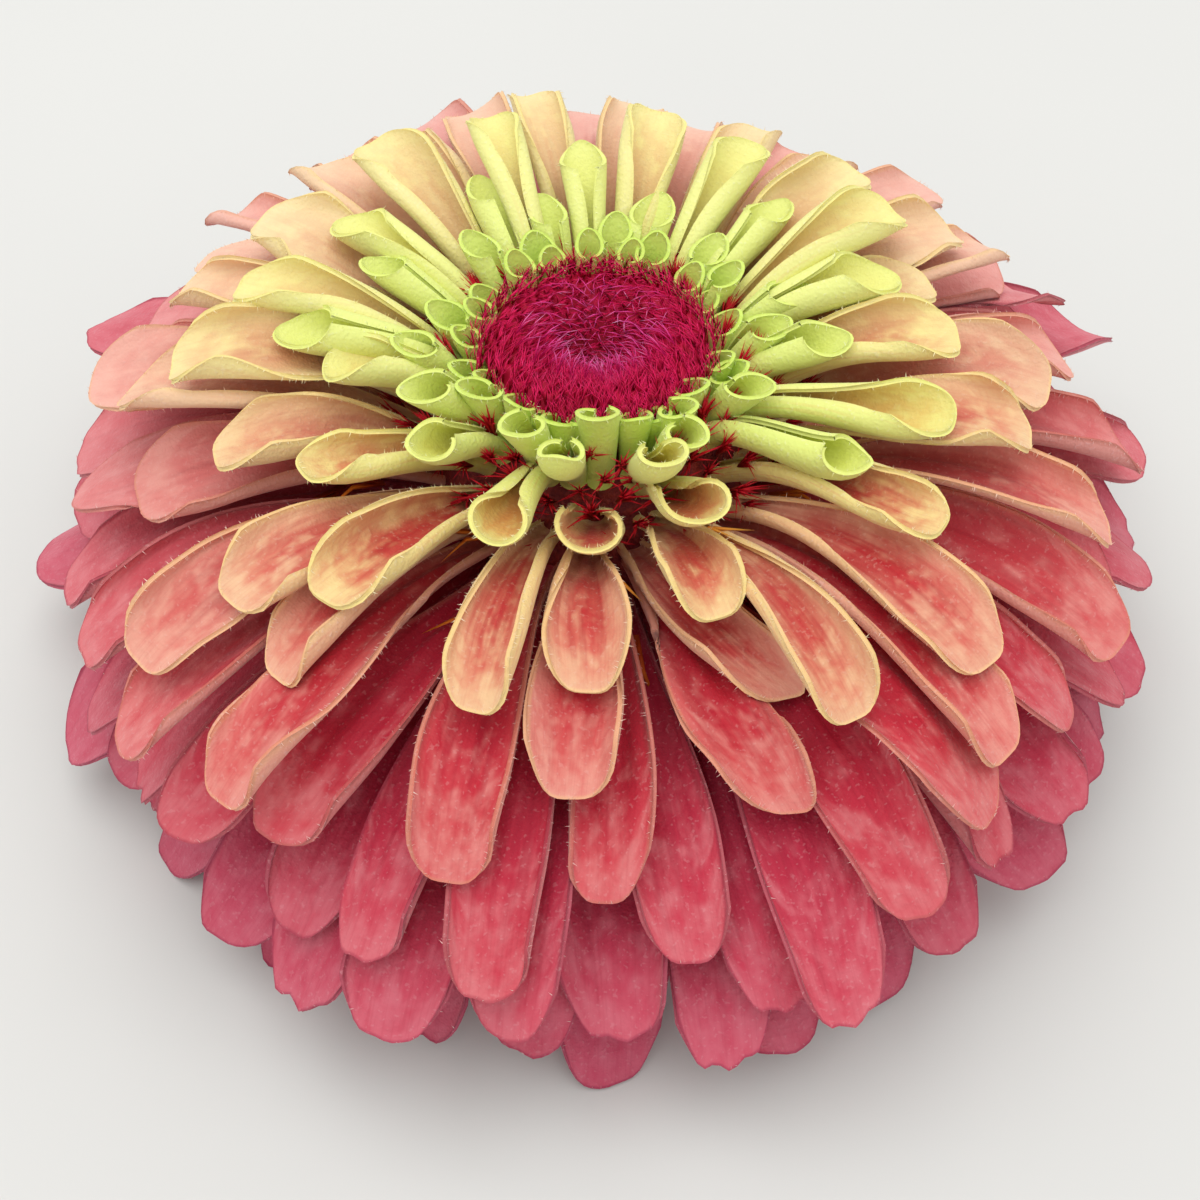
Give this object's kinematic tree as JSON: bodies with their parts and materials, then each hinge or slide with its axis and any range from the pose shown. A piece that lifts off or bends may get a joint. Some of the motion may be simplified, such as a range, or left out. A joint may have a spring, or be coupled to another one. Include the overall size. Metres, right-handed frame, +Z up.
{
  "type": "zinnia flower head",
  "caption": "Double zinnia bloom with quilled inner rays, a domed disc, a green involucre and a short cut stem, resting on its stem end and lowest ray tips.",
  "frame": {"origin": "on the resting surface, under the middle of the bloom's width and depth", "axes": "+Z up along the bloom's axis, out of the disc; -Y towards the side that faces the viewer of the picture; +X to that viewer's right"},
  "size_m": [0.0824, 0.0802, 0.0336],
  "materials": {
    "stem_green": "matte, hairy green stem and bracts",
    "ray_coral": "velvety coral to rose ray florets with tan edges",
    "quill_lime": "satin lime-green rolled ray florets",
    "disc_crimson": "fuzzy crimson disc"
  },
  "bodies": {
    "root": {"stem_and_involucre": "stem_green", "ray_florets": "ray_coral", "quill_florets": "quill_lime", "disc_florets": "disc_crimson"}
  },
  "joints": []
}
